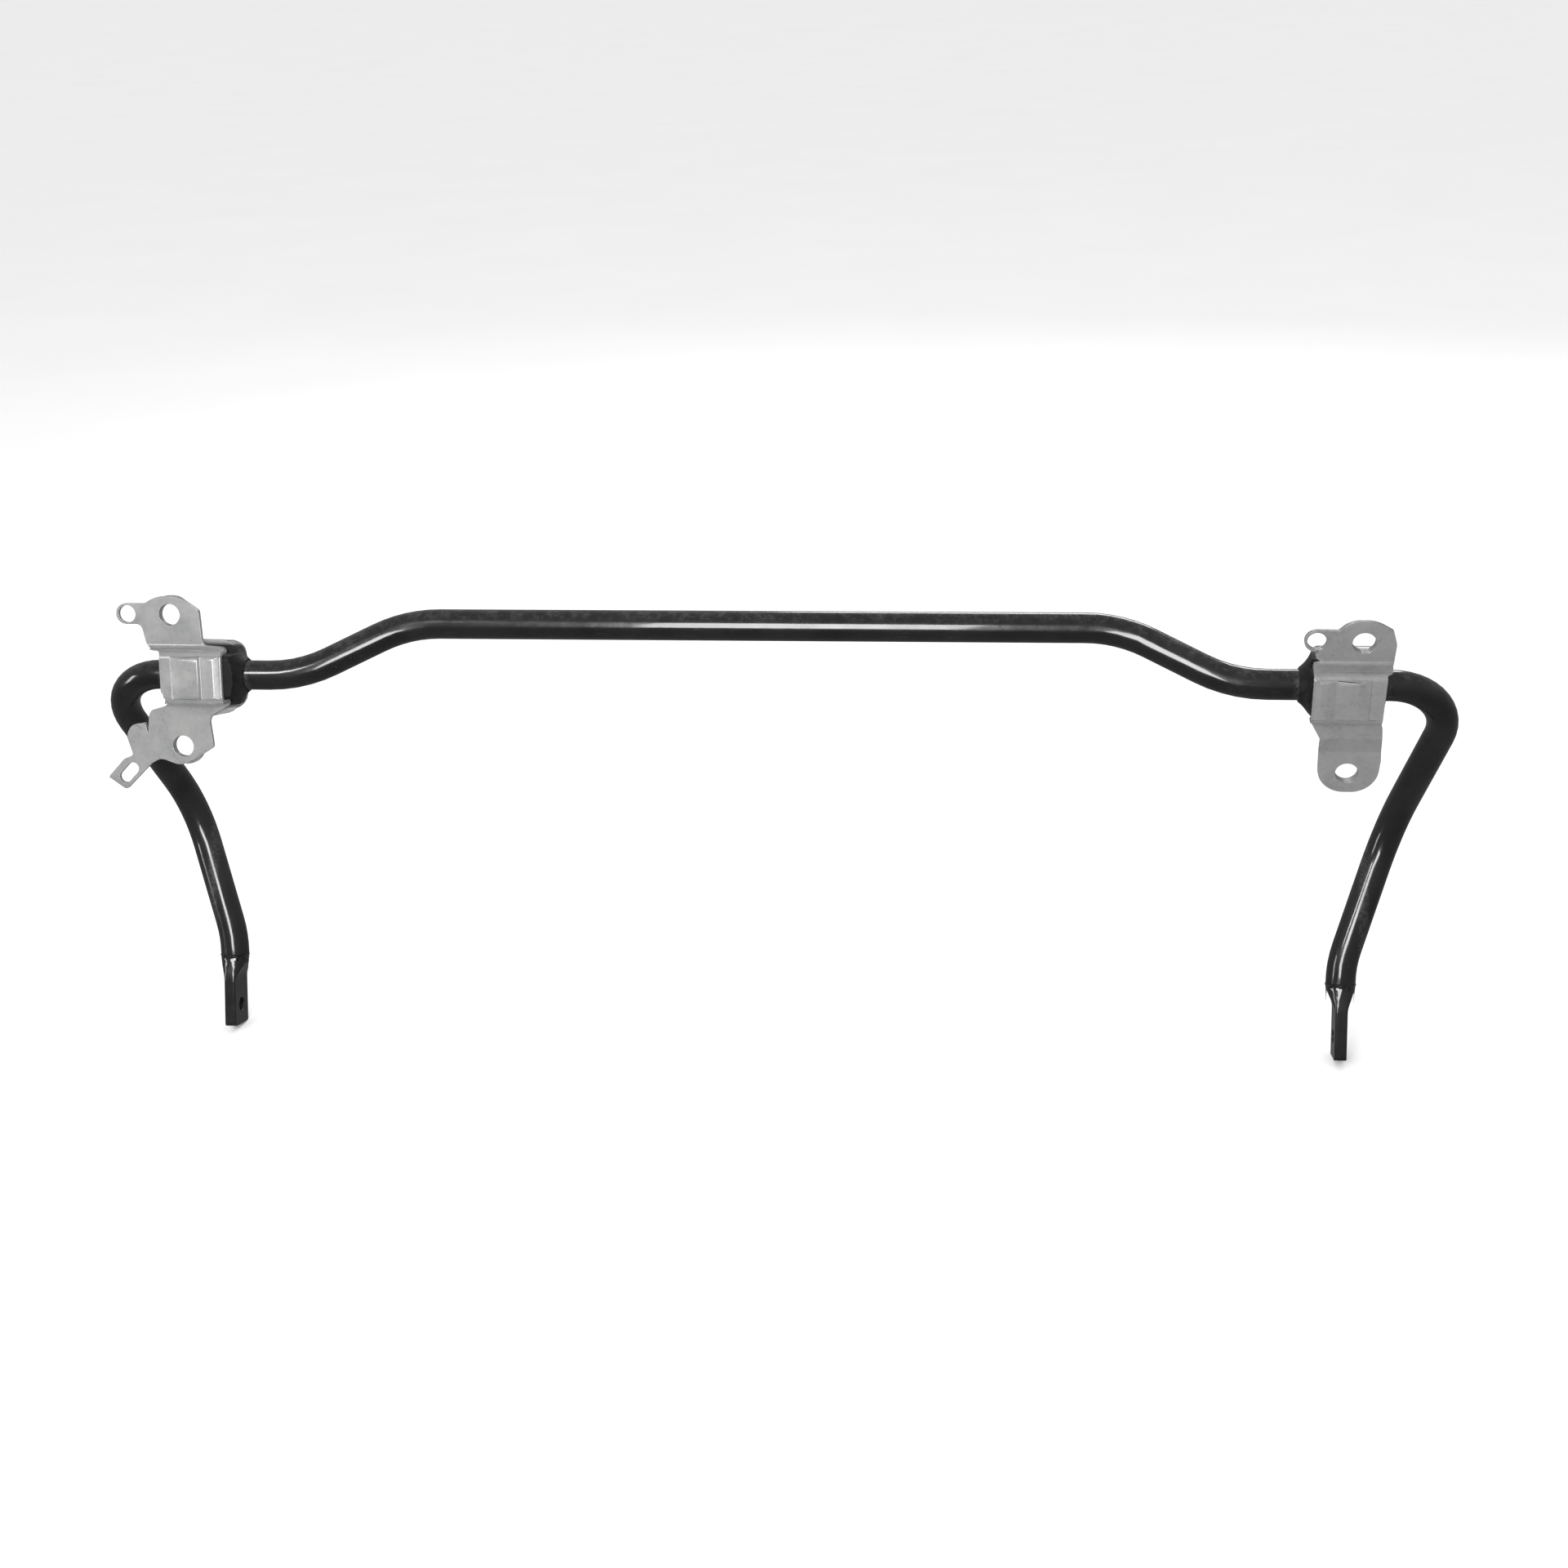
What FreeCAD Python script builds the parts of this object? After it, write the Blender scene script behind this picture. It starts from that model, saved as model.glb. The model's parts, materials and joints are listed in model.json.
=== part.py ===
"""Front sway bar (anti-roll bar) of a passenger car, with its two bush clamps.

Pieces: one bent and forged spring-steel bar, and on each side a rubber bush held between a ribbed
front bracket and a plain rear plate. Units are millimetres. X runs across the car and +Z is up.
Everything is laid out from the bush axis (the line through both bushes). Each clamp is drawn with
its bolt faces upright and square to Y, and then turned about the bush axis to the angle at which it
sits on the loose bar. At the end the part is moved to stand on Z = 0, centred in X and Y.
"""
import FreeCAD
import Part
import math
import os

V = FreeCAD.Vector

# ---------------------------------------------------------------- bar
BAR_D = 22.0                            # solid round bar
MID_BEND = V(261.5, 22.5, 33.5)         # middle run meets the slanting run
SHOULDER_BEND = V(340.0, 0.0, 0.0)      # slanting run meets the bush axis
CORNER = V(499.5, 0.0, 0.0)             # bush axis meets the arm
ARM_BEND = V(463.0, 58.0, -131.0)       # first bend of the arm
LOWER_BEND = V(430.0, 20.0, -227.0)     # second bend of the arm
ARM_END = V(430.0, 0.5, -295.0)         # end of the forged eye
CRANK_R = 100.0                         # centre-line radius of the two shallow cranks
CORNER_R = 39.0
ARM_R = 80.0

# forged eye at each end of the bar
EYE_T = 9.0
EYE_W = 28.0
EYE_L = 36.0                            # flat length
EYE_NECK_L = 20.0                       # round to flat
EYE_CORNER_R = 4.0
EYE_EDGE_R = 1.6
EYE_NECK_STEPS = 6
EYE_SEAM = 0.1                          # the neck starts this much inside the bar
EYE_HOLE_D = 10.5
EYE_HOLE_INSET = 16.0                   # hole centre to the cut end

# ---------------------------------------------------------------- clamps
SHEET = 3.5                             # pressed steel sheet
SADDLE_IN = 394.0                       # inboard edge of the saddle, from the car's middle
SADDLE_OUT = 441.5                      # outboard edge
SADDLE_Y = -22.0                        # front face of the saddle
SADDLE_HALF = 19.5                      # half height of that face
SADDLE_R = 6.0                          # its two bends, on the front face
FLANGE_Y = -6.5                         # front face of the bolt flanges
THROAT_HALF = 20.8                      # half height of the saddle where it meets the flanges
THROAT_R = 3.5
STEP_Y = -12.0                          # front face of the raised strip on the right bracket
STEP_TOP = -22.5
STEP_BOTTOM = -36.8
FLANGE_BOTTOM = -51.0                   # where that strip has come back to the flange plane
STEP_R = 5.5
RIB_H = 2.2
RIB_ROOT = 6.0                          # the ribs are drawn from this far behind the saddle's face
RIB_END_R = 5.0
CRADLE_HALF = 22.0                      # inside half height of the rear plate
CRADLE_Y = 19.5                         # inside depth of the rear plate
CRADLE_R = 13.0
CRADLE_LIP_R = 4.0
TAB = 15.0                              # half width of the rear plate's bolt tabs
MAIN_HOLE_D = 16.0                      # clears an M14 bolt
SMALL_HOLE_D = 13.0
SLOT_W = 9.0
SLOT_L = 18.0                           # between the ends of the slot
SLOT_ANGLE = 46.0
LEFT_TILT = -11.5                       # turn about the bush axis: the saddle looks a little up
RIGHT_TILT = 11.0                       # and this one a little down

L_TOP_HOLE = V(-438.0, 0.0, 45.5)
L_SMALL_HOLE = V(-471.0, 0.0, 46.0)
L_LOW_HOLE = V(-433.0, 0.0, -53.5)
L_SLOT = V(-477.0, FLANGE_Y, -74.3)
R_TOP_HOLE = V(427.5, 0.0, 36.8)
R_SMALL_HOLE = V(395.5, 0.0, 38.2)
R_LOW_HOLE = V(423.5, 0.0, -69.0)

# ---------------------------------------------------------------- bushes
BORE_CLEARANCE = 0.05
SEAT_GAP = 0.12                         # rubber to steel
LEFT_STANDOUT = 5.0                     # full section beyond the saddle, inboard
RIGHT_STANDOUT = 0.5
TRUMPET_L = 8.0
TRUMPET_R = 28.0                        # where the trumpet has passed the clamp's corners
COLLAR_L = 3.0
COLLAR_R = 15.0
NECK_WALL = 1.2                         # rubber left on the bar at the thin end


# ---------------------------------------------------------------- helpers
def rounded_wire(points, radii, closed=True):
    """Straight runs through the points, each corner rounded by a tangent arc of its radius."""
    count = len(points)
    starts = []
    ends = []
    mids = []
    for i, (point, radius) in enumerate(zip(points, radii)):
        inner = closed or 0 < i < count - 1
        if radius <= 0 or not inner:
            starts.append(point)
            ends.append(point)
            mids.append(None)
            continue
        back = (points[i - 1] - point).normalize()
        ahead = (points[(i + 1) % count] - point).normalize()
        half = back.getAngle(ahead) / 2
        reach = radius / math.tan(half)
        bisector = (back + ahead).normalize()
        starts.append(point + back * reach)
        ends.append(point + ahead * reach)
        mids.append(point + bisector * (radius / math.sin(half) - radius))
    edges = []
    for i in range(count):
        if mids[i] is not None:
            edges.append(Part.Arc(starts[i], mids[i], ends[i]).toShape())
        if i == count - 1 and not closed:
            break
        following = starts[(i + 1) % count]
        if (following - ends[i]).Length > 1e-4:
            edges.append(Part.LineSegment(ends[i], following).toShape())
    return Part.Wire(edges)


def split(corners):
    """Divide (a, b, radius) rows into a list of (a, b) and a list of radii."""
    return [(row[0], row[1]) for row in corners], [row[2] for row in corners]


def prism_y(corners, front, back):
    """Solid between two Y planes, with its outline given as (x, z, radius) corners."""
    places, radii = split(corners)
    wire = rounded_wire([V(x, front, z) for x, z in places], radii)
    return Part.Face(wire).extrude(V(0, back - front, 0))


def sheet_along_x(path, thickness, x_from, x_to):
    """Bent sheet: the (y, z, radius) path is its front face, and it is thick towards +n."""
    front = [V(x_from, y, z) for y, z, _ in path]
    radii = [radius for _, _, radius in path]
    back = offset_path(front, thickness)
    back_radii = offset_radii(front, radii, thickness)
    loop = front + back[::-1]
    wire = rounded_wire(loop, radii + back_radii[::-1])
    return Part.Face(wire).extrude(V(x_to - x_from, 0, 0))


def offset_path(points, distance):
    """Corners of the open path moved sideways by the distance, in the YZ plane."""
    moved = []
    for i, point in enumerate(points):
        normals = []
        if i > 0:
            normals.append(left_normal(points[i - 1], point))
        if i < len(points) - 1:
            normals.append(left_normal(point, points[i + 1]))
        if len(normals) == 1:
            moved.append(point + normals[0] * distance)
            continue
        total = normals[0] + normals[1]
        moved.append(point + total * (distance / (1 + normals[0].dot(normals[1]))))
    return moved


def offset_radii(points, radii, distance):
    """Bend radii of the moved path, so that both faces of a bend share one centre."""
    moved = [0.0]
    for i in range(1, len(points) - 1):
        turn = left_normal(points[i - 1], points[i])
        ahead = (points[i + 1] - points[i]).normalize()
        bends_towards = ahead.dot(turn) > 0
        change = -distance if bends_towards else distance
        moved.append(max(radii[i] + change, 0.5) if radii[i] > 0 else 0.0)
    moved.append(0.0)
    return moved


def left_normal(a, b):
    """Unit normal of the run a to b in the YZ plane, on the +Y side when the run goes down."""
    run = (b - a).normalize()
    return V(0, -run.z, run.y)


def hole_y(centre, diameter):
    """Cutter for a round hole along Y."""
    reach = 60.0
    return Part.makeCylinder(diameter / 2, 2 * reach, centre - V(0, reach, 0), V(0, 1, 0))


def slot_y(centre, width, length, angle):
    """Cutter for a slot along Y, its long way turned by the angle from X towards Z."""
    radius = width / 2
    along = (length - width) / 2
    body = Part.makeBox(2 * along, 20, width, V(-along, -10, -radius))
    for side in (-1, 1):
        body = body.fuse(Part.makeCylinder(radius, 20, V(side * along, -10, 0), V(0, 1, 0)))
    body.rotate(V(0, 0, 0), V(0, -1, 0), angle)
    body.translate(centre)
    return body


def mirrored(shape):
    """The shape on the other side of the car."""
    return shape.mirror(V(0, 0, 0), V(1, 0, 0))


def mirror_point(point):
    return V(-point.x, point.y, point.z)


# ---------------------------------------------------------------- bar
def stabilizer_bar():
    """Round bar with three bends a side in the middle part, two in each arm, and two forged eyes."""
    eye_run = (ARM_END - LOWER_BEND).normalize()
    round_end = ARM_END - eye_run * (EYE_L + EYE_NECK_L)
    right = [MID_BEND, SHOULDER_BEND, CORNER, ARM_BEND, LOWER_BEND, round_end]
    bends = [CRANK_R, CRANK_R, CORNER_R, ARM_R, ARM_R, 0]
    points = [mirror_point(point) for point in right[::-1]] + right
    spine = rounded_wire(points, bends[::-1] + bends, closed=False)
    section = Part.Wire(Part.Circle(points[0], points[1] - points[0], BAR_D / 2).toShape())
    rod = spine.makePipeShell([section], True, False)
    eye = forged_eye(round_end, eye_run)
    return rod.fuse([eye, mirrored(eye)])


def forged_eye(start, run):
    """Bar end pressed flat: a smooth neck from round to flat, then the blade with its hole."""
    across = V(1, 0, 0)
    wide = run.cross(across).normalize()
    sections = []
    for i in range(EYE_NECK_STEPS + 1):
        share = i / EYE_NECK_STEPS
        ease = share * share * (3 - 2 * share)
        thick = blend(BAR_D - EYE_SEAM, EYE_T, ease)
        width = blend(BAR_D - EYE_SEAM, EYE_W, ease)
        edge_r = blend(BAR_D / 2 - EYE_SEAM, EYE_EDGE_R, ease)
        centre = start + run * blend(-EYE_SEAM, EYE_NECK_L, share)
        sections.append(oblong(centre, across * (thick / 2), wide * (width / 2), edge_r))
    neck = Part.makeLoft(sections, True, False)
    blade = Part.Face(sections[-1]).extrude(run * EYE_L)
    root = start + run * EYE_NECK_L
    tip = blade_outline(root, run, across, wide)
    centre = root + run * (EYE_L - EYE_HOLE_INSET)
    hole = Part.makeCylinder(EYE_HOLE_D / 2, 4 * EYE_T, centre - across * (2 * EYE_T), across)
    return neck.fuse(blade.common(tip)).cut(hole)


def blend(low, high, share):
    return low + (high - low) * share


def oblong(centre, half_thick, half_width, edge_r):
    """Rectangle with rounded corners, round the centre."""
    corners = [centre - half_thick - half_width, centre + half_thick - half_width,
               centre + half_thick + half_width, centre - half_thick + half_width]
    return rounded_wire(corners, [edge_r] * 4)


def blade_outline(root, run, across, wide):
    """Thick block with the blade's side view: cut square, its two end corners eased."""
    half = wide * (EYE_W / 2)
    past = wide * 5
    base = root - across * EYE_T
    neck_end = run * (EYE_L / 2)
    corners = [base - half - past, base - half - past + neck_end, base - half + neck_end,
               base - half + run * EYE_L, base + half + run * EYE_L, base + half + neck_end,
               base + half + past + neck_end, base + half + past]
    radii = [0, 0, 0, EYE_CORNER_R, EYE_CORNER_R, 0, 0, 0]
    return Part.Face(rounded_wire(corners, radii)).extrude(across * (2 * EYE_T))


# ---------------------------------------------------------------- front brackets
def saddle_ribs(side):
    """Two upright ribs on the saddle's face, a narrow groove between them, their ends sloped off.

    The section is (distance from the outboard edge, height, radius); the narrow rib is inboard.
    """
    section = [(8.5, -RIB_ROOT, 0), (8.5, 0.2, 0), (17.5, RIB_H, 6.0), (30.0, RIB_H, 1.0),
               (32.0, 0.6, 1.0), (38.0, 0.9 * RIB_H, 5.0), (42.0, 0.9 * RIB_H, 3.0), (46.5, 0.2, 0),
               (46.5, -RIB_ROOT, 0)]
    places, radii = split(section)
    half = SADDLE_HALF - 1.0
    points = [V(side * (SADDLE_OUT - u), SADDLE_Y - h, -half) for u, h in places]
    ridges = Part.Face(rounded_wire(points, radii)).extrude(V(0, 0, 2 * half))
    crest = SADDLE_Y - RIB_H
    upper = [(SADDLE_Y + 1.5, SADDLE_HALF - 5.5, 0), (SADDLE_Y + 5.2, SADDLE_HALF - 1.1, 0),
             (crest, SADDLE_HALF - 4.0, RIB_END_R)]
    lower = [(y, -z, radius) for y, z, radius in upper[::-1]]
    places, radii = split(upper + lower)
    points = [V(side * SADDLE_IN, y, z) for y, z in places]
    side_view = Part.Face(rounded_wire(points, radii)).extrude(V(side * (SADDLE_OUT - SADDLE_IN), 0, 0))
    return ridges.common(side_view)


def left_front_bracket():
    """Left bracket: small lug outboard of the top hole, and a slotted lug below on an ear."""
    path = [(FLANGE_Y, 80, 0), (FLANGE_Y, THROAT_HALF, THROAT_R), (SADDLE_Y, SADDLE_HALF, SADDLE_R),
            (SADDLE_Y, -SADDLE_HALF, SADDLE_R), (FLANGE_Y, -THROAT_HALF, THROAT_R), (FLANGE_Y, -110, 0)]
    sheet = sheet_along_x(path, SHEET, -520, -380)
    outline = [(-479.5, 53.8, 7.7), (-457.0, 53.8, 8), (-448.5, 59.0, 22), (-430.0, 59.5, 28),
               (-415.0, 48.8, 4), (-413.5, 23.0, 4), (-SADDLE_IN, 21.4, 6), (-SADDLE_IN, -21.4, 5),
               (-411.5, -31.0, 8), (-409.0, -54.0, 4), (-425.5, -64.0, 5), (-435.5, -68.5, 14),
               (-451.0, -63.0, 8), (-459.0, -67.0, 3), (-480.0, -87.5, 3), (-493.8, -77.8, 1.5),
               (-480.5, -63.8, 5), (-473.0, -61.0, 2.5), (-477.5, -46.0, 8), (-473.0, -37.5, 8),
               (-462.0, -36.0, 0.8), (-460.2, -44.0, 0), (-459.2, -36.0, 0.6), (-458.5, -27.0, 6),
               (-446.0, -23.5, 4), (-437.5, -17.0, 4), (-SADDLE_OUT, -10.0, 4), (-SADDLE_OUT, 19.5, 3),
               (-456.5, 20.5, 7), (-460.5, 38.4, 5), (-479.5, 38.4, 7.7)]
    blank = prism_y(outline, -40, 20)
    bracket = sheet.fuse(saddle_ribs(-1)).common(blank)
    cutters = [hole_y(L_TOP_HOLE, MAIN_HOLE_D), hole_y(L_SMALL_HOLE, SMALL_HOLE_D),
               hole_y(L_LOW_HOLE, MAIN_HOLE_D), slot_y(L_SLOT, SLOT_W, SLOT_L, SLOT_ANGLE)]
    return bracket.cut(cutters)


def right_front_bracket():
    """Right bracket: small lug inboard of the top hole, raised strip under the saddle."""
    path = [(FLANGE_Y, 80, 0), (FLANGE_Y, THROAT_HALF, THROAT_R), (SADDLE_Y, SADDLE_HALF, SADDLE_R),
            (SADDLE_Y, -SADDLE_HALF, SADDLE_R), (STEP_Y, STEP_TOP, THROAT_R), (STEP_Y, STEP_BOTTOM, STEP_R),
            (FLANGE_Y, FLANGE_BOTTOM, STEP_R), (FLANGE_Y, -110, 0)]
    sheet = sheet_along_x(path, SHEET, 380, 470)
    outline = [(387.0, 46.3, 8.2), (410.0, 46.3, 4), (417.0, 53.6, 17), (434.0, 53.8, 26),
               (446.5, 46.3, 3), (449.5, 36.0, 14), (448.5, 20.2, 3), (443.5, 18.8, 1),
               (SADDLE_OUT + 1.0, -22.0, 2), (444.5, -28.0, 3), (446.5, -58.0, 18), (444.5, -85.0, 19),
               (403.5, -85.0, 19), (402.5, -38.0, 8), (SADDLE_IN, -21.5, 3), (SADDLE_IN, 20.6, 3),
               (400.5, 21.8, 1), (395.0, 25.0, 3), (395.9, 29.9, 0.4),
               (387.0, 29.9, 8.2)]
    blank = prism_y(outline, -40, 20)
    bracket = sheet.fuse(saddle_ribs(1)).common(blank)
    cutters = [hole_y(R_TOP_HOLE, MAIN_HOLE_D), hole_y(R_SMALL_HOLE, SMALL_HOLE_D),
               hole_y(R_LOW_HOLE, MAIN_HOLE_D)]
    return bracket.cut(cutters)


# ---------------------------------------------------------------- rear plates
def rear_plate(side, top_hole, low_hole, x_in):
    """Plain pressed plate behind a bush: a round-cornered cradle between two bolt flanges."""
    face = FLANGE_Y + SHEET
    path = [(face, 80, 0), (face, CRADLE_HALF, CRADLE_LIP_R), (CRADLE_Y, CRADLE_HALF, CRADLE_R),
            (CRADLE_Y, -CRADLE_HALF, CRADLE_R), (face, -CRADLE_HALF, CRADLE_LIP_R), (face, -110, 0)]
    sheet = sheet_along_x(path, SHEET, 380, 470)
    edge = CRADLE_HALF + SHEET
    end_r = TAB - 1.5
    top_x = abs(top_hole.x)
    low_x = abs(low_hole.x)
    crown = top_hole.z + TAB - 1
    foot = low_hole.z - TAB + 1
    outline = [(top_x - TAB, crown, end_r), (top_x + TAB, crown, end_r), (top_x + TAB, edge + 1.5, 2),
               (SADDLE_OUT - 0.5, edge + 0.5, 1), (SADDLE_OUT - 0.5, -edge - 0.5, 1),
               (low_x + TAB, -edge - 3.0, 3), (low_x + TAB, foot, end_r), (low_x - TAB, foot, end_r),
               (low_x - TAB, -edge - 7.0, 5), (x_in, -edge - 1.5, 9), (x_in, edge + 1.0, 10),
               (top_x - TAB, edge + 1.5, 2)]
    plate = sheet.common(prism_y(outline, -10, 60))
    if side < 0:
        plate = mirrored(plate)
    return plate.cut([hole_y(top_hole, MAIN_HOLE_D), hole_y(low_hole, MAIN_HOLE_D)])


# ---------------------------------------------------------------- bushes
def bush(side, standout):
    """Rubber bush: fills the clamp, with a trumpet end inboard and a short collar outboard."""
    throat = THROAT_HALF - SHEET + 0.2 - SEAT_GAP
    nose = SADDLE_HALF - SHEET + 0.2 - SEAT_GAP
    front = SADDLE_Y + SHEET + SEAT_GAP
    half = CRADLE_HALF - SEAT_GAP
    back = CRADLE_Y - SEAT_GAP
    split_y = FLANGE_Y + SHEET + SEAT_GAP
    corners = [(front, nose, 3.5), (split_y, throat, 0), (split_y, half, 0.5), (back, half, CRADLE_R),
               (back, -half, CRADLE_R), (split_y, -half, 0.5), (split_y, -throat, 0), (front, -nose, 3.5)]
    places, radii = split(corners)
    inner = SADDLE_IN - standout
    thin_end = inner - TRUMPET_L
    wire = rounded_wire([V(thin_end, y, z) for y, z in places], radii)
    block = Part.Face(wire).extrude(V(SADDLE_OUT - thin_end, 0, 0))
    body = block.common(trumpet(thin_end, inner))
    collar = Part.makeCylinder(COLLAR_R, COLLAR_L + 1, V(SADDLE_OUT - 1, 0, 0), V(1, 0, 0))
    bore_length = SADDLE_OUT - thin_end + 40
    bore = Part.makeCylinder(BAR_D / 2 + BORE_CLEARANCE, bore_length, V(thin_end - 20, 0, 0), V(1, 0, 0))
    body = body.fuse(collar).cut(bore)
    return mirrored(body) if side < 0 else body


def trumpet(thin_end, inner):
    """Round envelope that opens with a hollow curve from the bar to past the clamp's corners."""
    neck_r = BAR_D / 2 + NECK_WALL
    middle = V(thin_end + 0.62 * TRUMPET_L, neck_r + 0.3 * (TRUMPET_R - neck_r), 0)
    flare = Part.Arc(V(thin_end, neck_r, 0), middle, V(inner + 2.0, TRUMPET_R, 0)).toShape()
    corners = [V(inner + 2.0, TRUMPET_R, 0), V(SADDLE_OUT, TRUMPET_R, 0), V(SADDLE_OUT, 0, 0),
               V(thin_end, 0, 0), V(thin_end, neck_r, 0)]
    sides = [Part.LineSegment(a, b).toShape() for a, b in zip(corners[:-1], corners[1:])]
    face = Part.Face(Part.Wire([flare] + sides))
    return face.revolve(V(0, 0, 0), V(1, 0, 0), 360)


# ---------------------------------------------------------------- assembly
def build():
    """Every piece by its name, laid out from the bush axis, the clamps turned on the bar."""
    pieces = {
        "stabilizer_bar": stabilizer_bar(),
        "left_bush": bush(-1, LEFT_STANDOUT),
        "right_bush": bush(1, RIGHT_STANDOUT),
        "left_front_bracket": left_front_bracket(),
        "right_front_bracket": right_front_bracket(),
        "left_rear_plate": rear_plate(-1, L_TOP_HOLE, L_LOW_HOLE, SADDLE_IN - LEFT_STANDOUT + 1.5),
        "right_rear_plate": rear_plate(1, R_TOP_HOLE, R_LOW_HOLE, SADDLE_IN + 2.0),
    }
    tilts = {"left": LEFT_TILT, "right": RIGHT_TILT}
    for name, shape in pieces.items():
        shape.rotate(V(0, 0, 0), V(1, 0, 0), tilts.get(name.split("_")[0], 0.0))
    return pieces


def stand(pieces):
    """Move every piece by one step, so that the whole stands on Z = 0 centred over the origin."""
    box = FreeCAD.BoundBox()
    for shape in pieces.values():
        box.add(shape.optimalBoundingBox(True, False))
    step = V(-box.Center.x, -box.Center.y, -box.ZMin)
    for shape in pieces.values():
        shape.translate(step)
    return step


def main():
    os.makedirs("parts", exist_ok=True)
    pieces = build()
    step = stand(pieces)
    print("bush axis at", round(step.x, 3), round(step.y, 3), round(step.z, 3))
    for name, shape in pieces.items():
        print(name, shape.ShapeType, len(shape.Solids), shape.isValid(), round(shape.Volume))
        solid = shape.Solids[0] if len(shape.Solids) == 1 else shape
        solid.exportStep(os.path.join("parts", name + ".step"))


main()
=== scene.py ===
"""Looks of a sway bar: black enamelled spring steel, moulded rubber bushes and zinc-plated clamps.

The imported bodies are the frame. Everything here is in metres, in the frame's own axes.
"""
import json
import math

import bmesh
import bpy
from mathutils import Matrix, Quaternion, Vector


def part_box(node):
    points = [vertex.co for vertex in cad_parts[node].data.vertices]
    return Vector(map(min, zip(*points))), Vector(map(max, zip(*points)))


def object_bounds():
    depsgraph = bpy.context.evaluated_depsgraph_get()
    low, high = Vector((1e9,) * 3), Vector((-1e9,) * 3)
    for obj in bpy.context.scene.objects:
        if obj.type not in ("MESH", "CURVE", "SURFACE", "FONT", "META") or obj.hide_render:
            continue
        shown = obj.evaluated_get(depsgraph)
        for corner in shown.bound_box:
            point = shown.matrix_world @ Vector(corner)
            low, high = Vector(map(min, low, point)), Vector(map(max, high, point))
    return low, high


MM = 0.001
SIDES = ("left", "right")

# The camera: azimuth 0 looks along +Y, elevation is above the horizon.
CAMERA_AZIMUTH = 8.28
CAMERA_ELEVATION = 21.8
CAMERA_ROLL = -2.2
CAMERA_DISTANCE = 1.589
CAMERA_AIM = Vector((0.0231, -0.0253, -0.0709))    # from the middle of the bushes' axis
CAMERA_LENS = 50.4

# The studio. The overhead box hangs a little behind the part; the others face its middle.
FLOOR_HALF = 60.0
OVERHEAD_OFFSET = Vector((0.0, 0.6, 0.0))
OVERHEAD_HEIGHT = 2.8
OVERHEAD_SIDE = 4.5
ROOM = 1.0          # brightness of the room's walls
SKY = 0.32          # the walls as reflections see them, above
GROUND = 0.14       # and below
GROUND_AT = -0.3    # height of the direction, as its sine, where each begins
SKY_AT = 0.5

# Edge rounding of the CAD pieces.
WELD = 0.03 * MM
SHARP = math.radians(40)
EDGE_RADIUS = {"bar": 0.6 * MM, "sheet": 0.35 * MM, "rubber": 0.4 * MM}

# How light each clamp's zinc is. The right clamp's darker value is partly its own plating tone and partly
# painted shade, for the dark ground its downward-tilted faces reflect.
ZINC_TONE_AND_SHADE = {"left": 0.33, "right": 0.3}


# ---------------------------------------------------------------- node helpers


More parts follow.
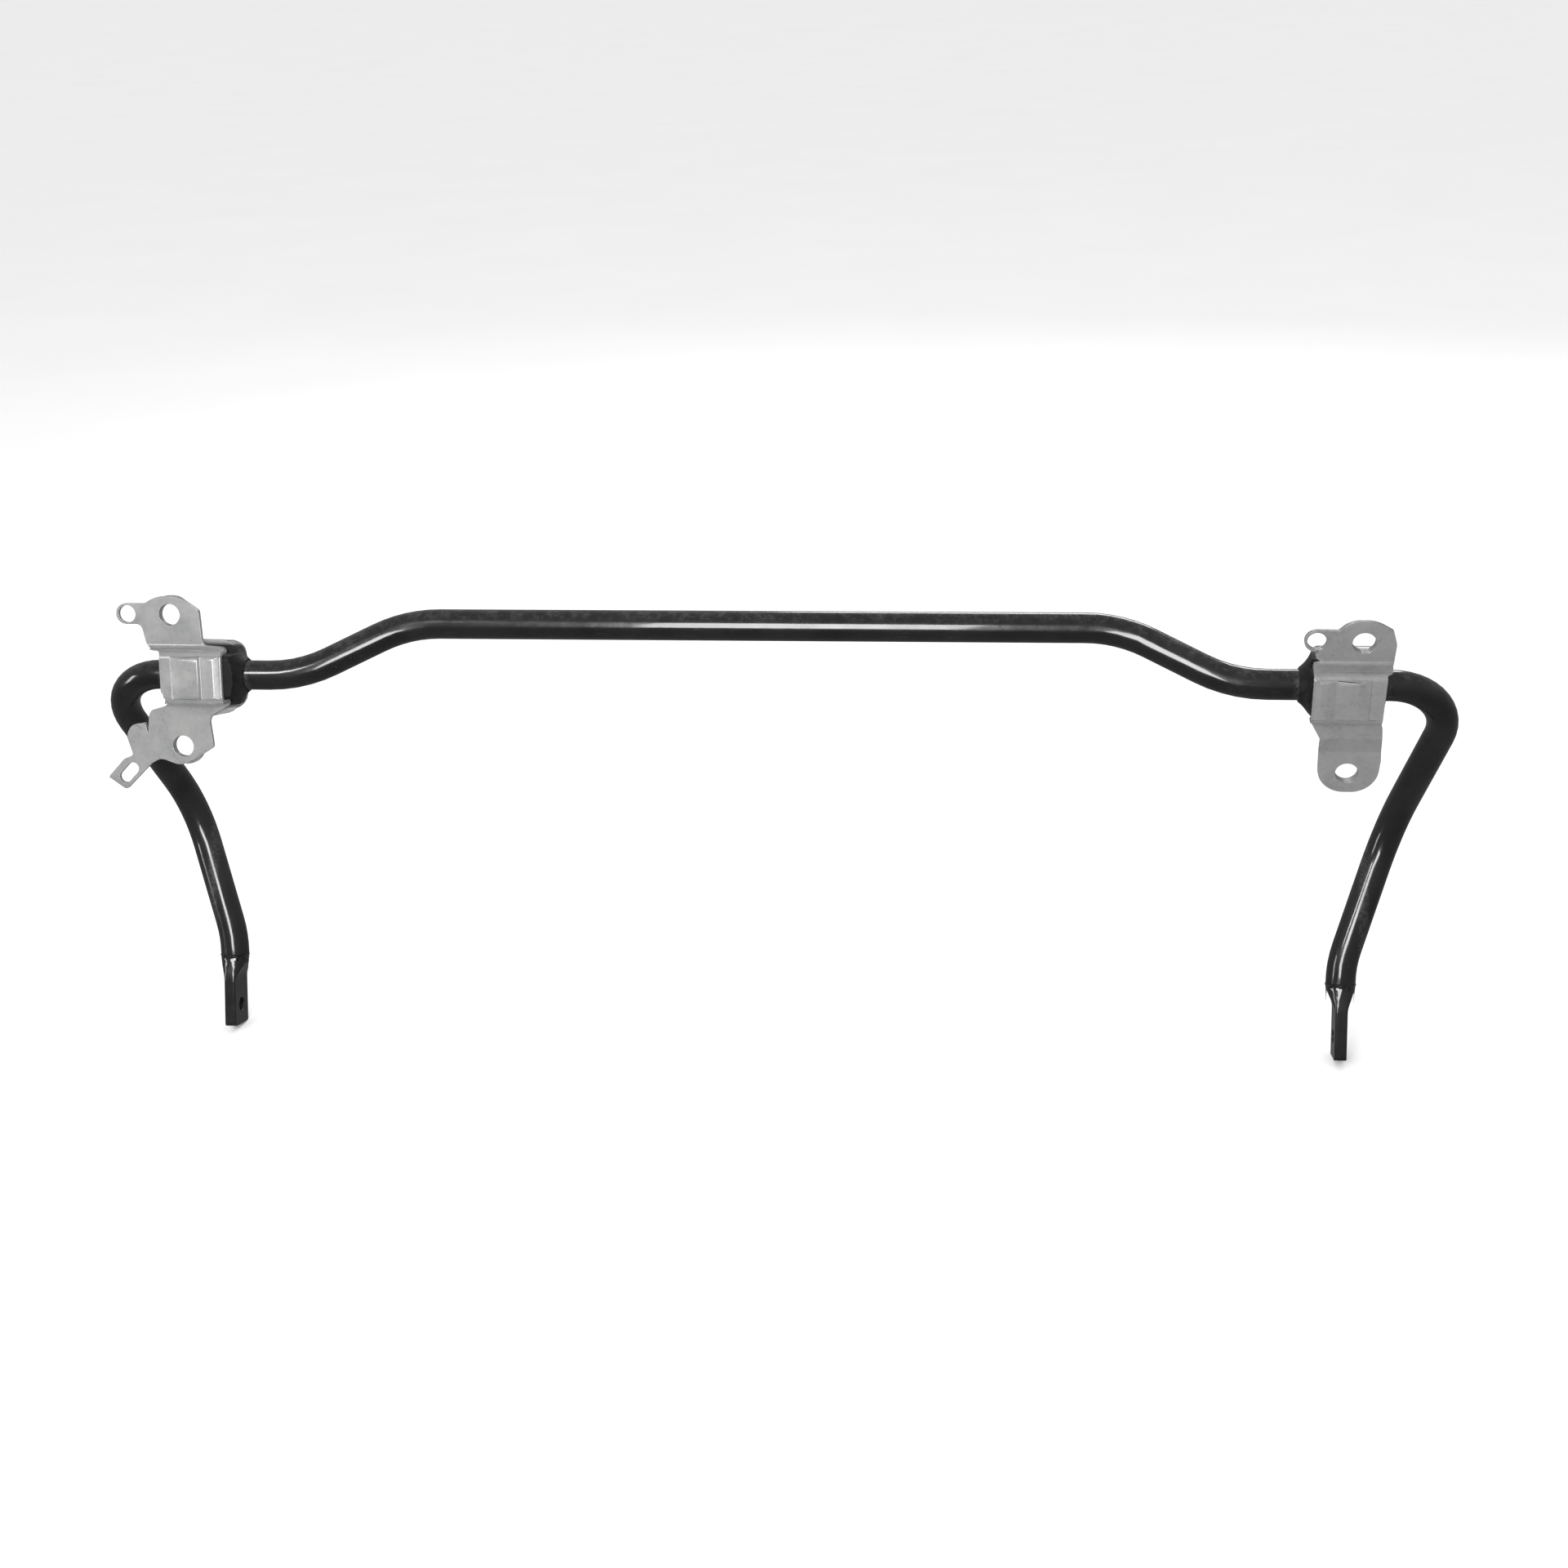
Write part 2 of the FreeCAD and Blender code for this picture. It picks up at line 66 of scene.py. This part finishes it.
class Material:
    """A material with a Principled shader, and short ways to add nodes to it."""

    def __init__(self, name):
        self.data = bpy.data.materials.new(name)
        self.data.use_nodes = True
        self.tree = self.data.node_tree
        self.tree.nodes.clear()
        output = self.tree.nodes.new("ShaderNodeOutputMaterial")
        self.shader = self.tree.nodes.new("ShaderNodeBsdfPrincipled")
        self.tree.links.new(self.shader.outputs["BSDF"], output.inputs["Surface"])
        coordinates = self.tree.nodes.new("ShaderNodeTexCoord")
        self.place = coordinates.outputs["Object"]
        self.facing = coordinates.outputs["Normal"]

    def put(self, socket, value):
        """Link an output to an input, or set the input's own value."""
        if isinstance(value, bpy.types.NodeSocket):
            self.tree.links.new(value, socket)
        else:
            socket.default_value = value

    def set(self, **inputs):
        """Shader inputs by name, with _ for a space."""
        for name, value in inputs.items():
            self.put(self.shader.inputs[name.replace("_", " ")], value)

    def stretched(self, x, y, z):
        """The object's coordinates, scaled by axis."""
        node = self.tree.nodes.new("ShaderNodeMapping")
        self.put(node.inputs["Vector"], self.place)
        node.inputs["Scale"].default_value = (x, y, z)
        return node.outputs["Vector"]

    def noise(self, scale, detail=3.0, roughness=0.55, distortion=0.0, vector=None):
        node = self.tree.nodes.new("ShaderNodeTexNoise")
        self.put(node.inputs["Vector"], vector or self.place)
        node.inputs["Scale"].default_value = scale
        node.inputs["Detail"].default_value = detail
        node.inputs["Roughness"].default_value = roughness
        node.inputs["Distortion"].default_value = distortion
        return node.outputs["Fac"]

    def cells(self, scale, randomness=1.0):
        """Distance to the nearest of scattered points."""
        node = self.tree.nodes.new("ShaderNodeTexVoronoi")
        self.put(node.inputs["Vector"], self.place)
        node.inputs["Scale"].default_value = scale
        node.inputs["Randomness"].default_value = randomness
        return node.outputs["Distance"]

    def math(self, operation, a, b=0.0, clamp=False):
        node = self.tree.nodes.new("ShaderNodeMath")
        node.operation = operation
        node.use_clamp = clamp
        self.put(node.inputs[0], a)
        self.put(node.inputs[1], b)
        return node.outputs[0]

    def spread(self, value, low, high, to_low=0.0, to_high=1.0):
        """Maps low..high of a value to to_low..to_high, smoothly, and holds the ends."""
        node = self.tree.nodes.new("ShaderNodeMapRange")
        node.interpolation_type = "SMOOTHSTEP"
        self.put(node.inputs["Value"], value)
        node.inputs["From Min"].default_value = low
        node.inputs["From Max"].default_value = high
        node.inputs["To Min"].default_value = to_low
        node.inputs["To Max"].default_value = to_high
        return node.outputs["Result"]

    def blend(self, factor, a, b):
        """Mixes two colours."""
        node = self.tree.nodes.new("ShaderNodeMix")
        node.data_type = "RGBA"
        self.put(node.inputs[0], factor)
        self.put(node.inputs[6], a)
        self.put(node.inputs[7], b)
        return node.outputs[2]

    def axis(self, vector, name):
        """One component of a vector."""
        node = self.tree.nodes.new("ShaderNodeSeparateXYZ")
        self.put(node.inputs[0], vector)
        return node.outputs[name]

    def edges(self, radius):
        """1 on the rounded edges, 0 on the faces."""
        rounded = self.tree.nodes.new("ShaderNodeBevel")
        rounded.samples = 4
        rounded.inputs["Radius"].default_value = radius
        geometry = self.tree.nodes.new("ShaderNodeNewGeometry")
        dot = self.tree.nodes.new("ShaderNodeVectorMath")
        dot.operation = "DOT_PRODUCT"
        self.put(dot.inputs[0], rounded.outputs["Normal"])
        self.put(dot.inputs[1], geometry.outputs["Normal"])
        return self.spread(dot.outputs["Value"], 0.72, 0.99, 1.0, 0.0)

    def bump(self, *layers):
        """Bumps laid one over another, each a height and its depth in metres."""
        normal = None
        for height, depth in layers:
            node = self.tree.nodes.new("ShaderNodeBump")
            node.inputs["Distance"].default_value = depth
            self.put(node.inputs["Height"], height)
            if normal:
                self.put(node.inputs["Normal"], normal)
            normal = node.outputs["Normal"]
        self.put(self.shader.inputs["Normal"], normal)


def grey(value, warmth=0.0):
    """A grey, a little warmer or cooler."""
    return (value * (1 + warmth), value, value * (1 - warmth), 1.0)


# ------------------------------------------------------------------- materials


def bar_enamel(rub_places):
    """Gloss black stoved enamel with orange peel, dust, scuffs, and wear where the bushes rub."""
    m = Material("gloss_black_enamel")
    cloud = m.noise(28.0, 4.0)
    speck = m.spread(m.noise(1400.0, 2.0), 0.62, 0.75)
    colour = m.blend(m.spread(cloud, 0.35, 0.7), grey(0.004), grey(0.0075, 0.02))
    colour = m.blend(m.math("MULTIPLY", speck, 0.35), colour, grey(0.05))

    upward = m.spread(m.axis(m.facing, "Z"), 0.35, 1.0)
    dust = m.math("MULTIPLY", upward, m.spread(m.noise(160.0, 6.0, 0.7), 0.42, 0.75))
    colour = m.blend(m.math("MULTIPLY", dust, 0.22), colour, grey(0.16, 0.04))

    scratch = m.noise(1.0, 2.0, 0.5, 0.4, m.stretched(60.0, 1500.0, 1500.0))
    scratch = m.spread(scratch, 0.66, 0.72)
    scratch = m.math("MULTIPLY", scratch, m.spread(m.noise(22.0), 0.5, 0.68))
    colour = m.blend(m.math("MULTIPLY", scratch, 0.4), colour, grey(0.09))

    along = m.axis(m.place, "X")
    rub = None
    for place in rub_places:
        near = m.math("ABSOLUTE", m.math("SUBTRACT", along, place))
        ring = m.spread(near, 1.0 * MM, 5.0 * MM, 1.0, 0.0)
        rub = m.math("MAXIMUM", rub, ring) if rub else ring
    rub = m.math("MULTIPLY", rub, m.spread(m.noise(420.0, 5.0, 0.7), 0.35, 0.65))
    colour = m.blend(m.math("MULTIPLY", rub, 0.5), colour, grey(0.045, 0.03))

    chips = m.math("MULTIPLY", m.edges(0.9 * MM), m.spread(m.noise(330.0, 5.0), 0.5, 0.62))
    colour = m.blend(m.math("MULTIPLY", chips, 0.6), colour, grey(0.17, 0.05))

    gloss = m.spread(m.noise(55.0, 5.0, 0.6), 0.3, 0.75, 0.18, 0.28)
    gloss = m.math("ADD", gloss, m.math("MULTIPLY", dust, 0.18))
    gloss = m.math("ADD", gloss, m.math("MULTIPLY", rub, 0.25), True)
    m.set(
        Base_Color=colour,
        Roughness=gloss,
        Specular_IOR_Level=0.4,
        Coat_Weight=0.8,
        Coat_Roughness=0.06,
    )
    swell = m.noise(70.0, 1.5)
    peel = m.noise(480.0, 2.0, 0.5)
    m.bump((swell, 0.22 * MM), (peel, 0.035 * MM), (scratch, -0.01 * MM))
    return m.data


def bush_rubber():
    """Moulded black rubber: matt, finely grained, with a dusty bloom and a polished edge."""
    m = Material("moulded_rubber")
    bloom = m.spread(m.noise(95.0, 6.0, 0.65), 0.4, 0.72)
    colour = m.blend(bloom, grey(0.0045), grey(0.0105, 0.03))
    upward = m.spread(m.axis(m.facing, "Z"), 0.2, 1.0)
    dust = m.math("MULTIPLY", upward, m.spread(m.noise(520.0, 5.0, 0.7), 0.45, 0.7))
    colour = m.blend(m.math("MULTIPLY", dust, 0.3), colour, grey(0.09, 0.05))
    scuffed = m.math("MULTIPLY", m.edges(0.8 * MM), m.spread(m.noise(260.0, 4.0), 0.4, 0.7))
    colour = m.blend(m.math("MULTIPLY", scuffed, 0.5), colour, grey(0.05, 0.02))
    m.set(
        Base_Color=colour,
        Roughness=m.spread(bloom, 0.0, 1.0, 0.5, 0.72),
        Specular_IOR_Level=0.25,
        Sheen_Weight=0.04,
        Sheen_Roughness=0.4,
    )
    grain = m.cells(1500.0)
    m.bump((m.noise(120.0, 3.0), 0.12 * MM), (grain, 0.03 * MM), (m.noise(2600.0, 2.0), 0.02 * MM))
    return m.data


def zinc_steel(name, tone):
    """Zinc-plated pressed steel: satin grey, cloudy, rolled grain, scratches and bright sheared edges."""
    m = Material(name)
    cloud = m.noise(42.0, 6.0, 0.62, 0.6)
    spangle = m.cells(330.0)
    colour = m.blend(m.spread(cloud, 0.3, 0.72), grey(tone * 0.86, -0.015), grey(tone * 1.1, 0.01))
    colour = m.blend(m.spread(spangle, 0.1, 0.9, 0.0, 0.25), colour, grey(tone * 1.3))

    grain = m.noise(1.0, 5.0, 0.7, 0.2, m.stretched(240.0, 240.0, 3200.0))
    colour = m.blend(m.spread(grain, 0.35, 0.7, 0.0, 0.3), colour, grey(tone * 0.7))

    scratch = m.noise(1.0, 2.0, 0.4, 1.2, m.stretched(1500.0, 900.0, 110.0))
    scratch = m.spread(scratch, 0.7, 0.74)
    scratch = m.math("MULTIPLY", scratch, m.spread(m.noise(60.0), 0.48, 0.6))
    colour = m.blend(m.math("MULTIPLY", scratch, 0.6), colour, grey(min(tone * 1.7, 0.9)))

    stain = m.spread(m.noise(18.0, 7.0, 0.7), 0.58, 0.8)
    colour = m.blend(m.math("MULTIPLY", stain, 0.35), colour, grey(tone * 0.55, 0.03))

    rim = m.math("MULTIPLY", m.edges(0.7 * MM), m.spread(m.noise(210.0, 4.0), 0.25, 0.6))
    colour = m.blend(m.math("MULTIPLY", rim, 0.55), colour, grey(min(tone * 1.8, 0.9)))

    rough = m.spread(cloud, 0.25, 0.75, 0.25, 0.33)
    rough = m.math("ADD", rough, m.math("MULTIPLY", stain, 0.12))
    rough = m.math("SUBTRACT", rough, m.math("MULTIPLY", rim, 0.12), True)
    m.set(Base_Color=colour, Roughness=rough, Metallic=0.5, Specular_IOR_Level=0.5)
    m.bump(
        (m.noise(85.0, 2.0), 0.16 * MM),
        (grain, 0.012 * MM),
        (spangle, 0.01 * MM),
        (scratch, -0.02 * MM),
    )
    return m.data


def floor_paper():
    """Plain pale studio paper."""
    m = Material("pale_paper")
    colour = m.blend(m.noise(3.0, 4.0), grey(0.86), grey(0.9))
    m.set(Base_Color=colour, Roughness=0.75, Specular_IOR_Level=0.2)
    m.bump((m.noise(900.0, 3.0), 0.02 * MM))
    return m.data


# --------------------------------------------------------------- CAD node looks


def finish_node(node, material, edge):
    """Smooth, soft-edged shading of a CAD node, with its material."""
    mesh = node.data
    for name in ("custom_normal", "sharp_edge", "sharp_face"):
        if name in mesh.attributes:
            mesh.attributes.remove(mesh.attributes[name])
    mesh.shade_smooth()
    mesh.materials.clear()
    mesh.materials.append(material)
    weld = node.modifiers.new("weld", "WELD")
    weld.merge_threshold = WELD
    bevel = node.modifiers.new("soft_edges", "BEVEL")
    bevel.limit_method = "ANGLE"
    bevel.angle_limit = SHARP
    bevel.width = EDGE_RADIUS[edge]
    bevel.segments = 2
    bevel.use_clamp_overlap = False
    bevel.miter_outer = "MITER_ARC"
    normals = node.modifiers.new("flat_faces", "WEIGHTED_NORMAL")
    normals.keep_sharp = True


# ----------------------------------------------------------------------- studio


def make_floor(material):
    """A wide flat floor at Z = 0, which reflections don't show."""
    bm = bmesh.new()
    corners = [(-1, -1), (1, -1), (1, 1), (-1, 1)]
    verts = [bm.verts.new((x * FLOOR_HALF, y * FLOOR_HALF, 0.0)) for x, y in corners]
    bm.faces.new(verts)
    mesh = bpy.data.meshes.new("studio_floor")
    bm.to_mesh(mesh)
    bm.free()
    floor = bpy.data.objects.new("studio_floor", mesh)
    bpy.context.scene.collection.objects.link(floor)
    mesh.materials.append(material)
    floor.visible_glossy = False


def soft_box(name, place, aim, width, height, power, shows=True):
    """A rectangular soft light facing a point. Reflections show it unless shows is False."""
    light = bpy.data.lights.new(name, "AREA")
    light.shape = "RECTANGLE"
    light.size = width
    light.size_y = height
    light.energy = power
    lamp = bpy.data.objects.new(name, light)
    lamp.location = place
    lamp.rotation_mode = "QUATERNION"
    lamp.rotation_quaternion = (Vector(aim) - Vector(place)).to_track_quat("-Z", "Y")
    lamp.visible_camera = False
    lamp.visible_glossy = shows
    bpy.context.scene.collection.objects.link(lamp)


def make_world():
    """A pale room that lights the scene evenly, and that reflections see dimmer, darkest below."""
    world = bpy.data.worlds.new("studio")
    world.use_nodes = True
    tree = world.node_tree
    direction = tree.nodes.new("ShaderNodeTexCoord")
    split = tree.nodes.new("ShaderNodeSeparateXYZ")
    tree.links.new(direction.outputs["Generated"], split.inputs[0])
    height = tree.nodes.new("ShaderNodeMapRange")
    tree.links.new(split.outputs["Z"], height.inputs["Value"])
    height.inputs["From Min"].default_value = GROUND_AT
    height.inputs["From Max"].default_value = SKY_AT
    height.inputs["To Min"].default_value = GROUND
    height.inputs["To Max"].default_value = SKY
    ray = tree.nodes.new("ShaderNodeLightPath")
    choice = tree.nodes.new("ShaderNodeMix")
    tree.links.new(ray.outputs["Is Glossy Ray"], choice.inputs["Factor"])
    choice.inputs["A"].default_value = ROOM
    tree.links.new(height.outputs["Result"], choice.inputs["B"])
    background = tree.nodes["Background"]
    background.inputs["Color"].default_value = (1.0, 1.0, 1.0, 1.0)
    tree.links.new(choice.outputs["Result"], background.inputs["Strength"])
    bpy.context.scene.world = world


def light_studio(middle):
    """An overhead box for the floor, and boxes whose reflections are the bar's and ribs' streaks."""
    make_world()
    below = middle + OVERHEAD_OFFSET
    above = below + Vector((0.0, 0.0, OVERHEAD_HEIGHT))
    soft_box("overhead", above, below, OVERHEAD_SIDE, OVERHEAD_SIDE, 10.0, shows=False)
    soft_box("front_box", (-0.18, -1.66, 0.86), middle, 0.5, 1.1, 22.0)
    soft_box("left_box", (-1.02, -1.5, 1.3), middle, 0.26, 0.4, 6.0)
    soft_box("side_box", (-2.3, -1.0, 0.45), middle, 0.35, 0.8, 7.0)
    soft_box("back_box", (0.35, 2.3, 1.5), middle, 1.4, 0.5, 14.0)


def place_camera():
    """A camera turned about the middle of the bushes' axis, and tilted a little by its roll."""
    axis = Vector(frame["joints"][0]["pos_m"])
    aim = Vector((0.0, axis.y, axis.z)) + CAMERA_AIM
    azimuth = math.radians(CAMERA_AZIMUTH)
    elevation = math.radians(CAMERA_ELEVATION)
    back = Vector(
        (
            math.sin(azimuth) * math.cos(elevation),
            -math.cos(azimuth) * math.cos(elevation),
            math.sin(elevation),
        )
    )
    data = bpy.data.cameras.new("camera")
    data.lens = CAMERA_LENS
    data.clip_end = FLOOR_HALF * 4
    camera = bpy.data.objects.new("camera", data)
    camera.location = aim + back * CAMERA_DISTANCE
    camera.rotation_mode = "QUATERNION"
    roll = Quaternion((0.0, 0.0, 1.0), math.radians(CAMERA_ROLL))
    camera.rotation_quaternion = (-back).to_track_quat("-Z", "Y") @ roll
    bpy.context.scene.collection.objects.link(camera)
    bpy.context.scene.camera = camera


# ------------------------------------------------------------------------ build


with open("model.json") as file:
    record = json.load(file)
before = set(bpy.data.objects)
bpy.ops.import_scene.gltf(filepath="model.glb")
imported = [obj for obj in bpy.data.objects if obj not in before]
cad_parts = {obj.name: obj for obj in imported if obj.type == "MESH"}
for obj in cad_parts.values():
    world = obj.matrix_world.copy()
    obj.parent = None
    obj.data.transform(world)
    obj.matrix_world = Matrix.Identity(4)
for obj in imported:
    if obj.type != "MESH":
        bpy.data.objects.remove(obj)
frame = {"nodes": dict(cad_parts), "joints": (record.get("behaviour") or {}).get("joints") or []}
cad_low, cad_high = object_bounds()
nodes = frame["nodes"]

rub_edges = []
for side in SIDES:
    low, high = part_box(f"{side}_bush")
    rub_edges += [low.x, high.x]

enamel = bar_enamel(rub_edges)
rubber = bush_rubber()
# The right clamp's material carries painted shade in its darker zinc tone.
zinc = {side: zinc_steel(f"zinc_plated_tone_and_shade_{side}", ZINC_TONE_AND_SHADE[side]) for side in SIDES}

finish_node(nodes["stabilizer_bar"], enamel, "bar")
for side in SIDES:
    finish_node(nodes[f"{side}_bush"], rubber, "rubber")
    for part in ("front_bracket", "rear_plate"):
        finish_node(nodes[f"{side}_{part}"], zinc[side], "sheet")

make_floor(floor_paper())
light_studio((cad_low + cad_high) / 2)
place_camera()
bpy.context.scene.view_settings.view_transform = "Standard"
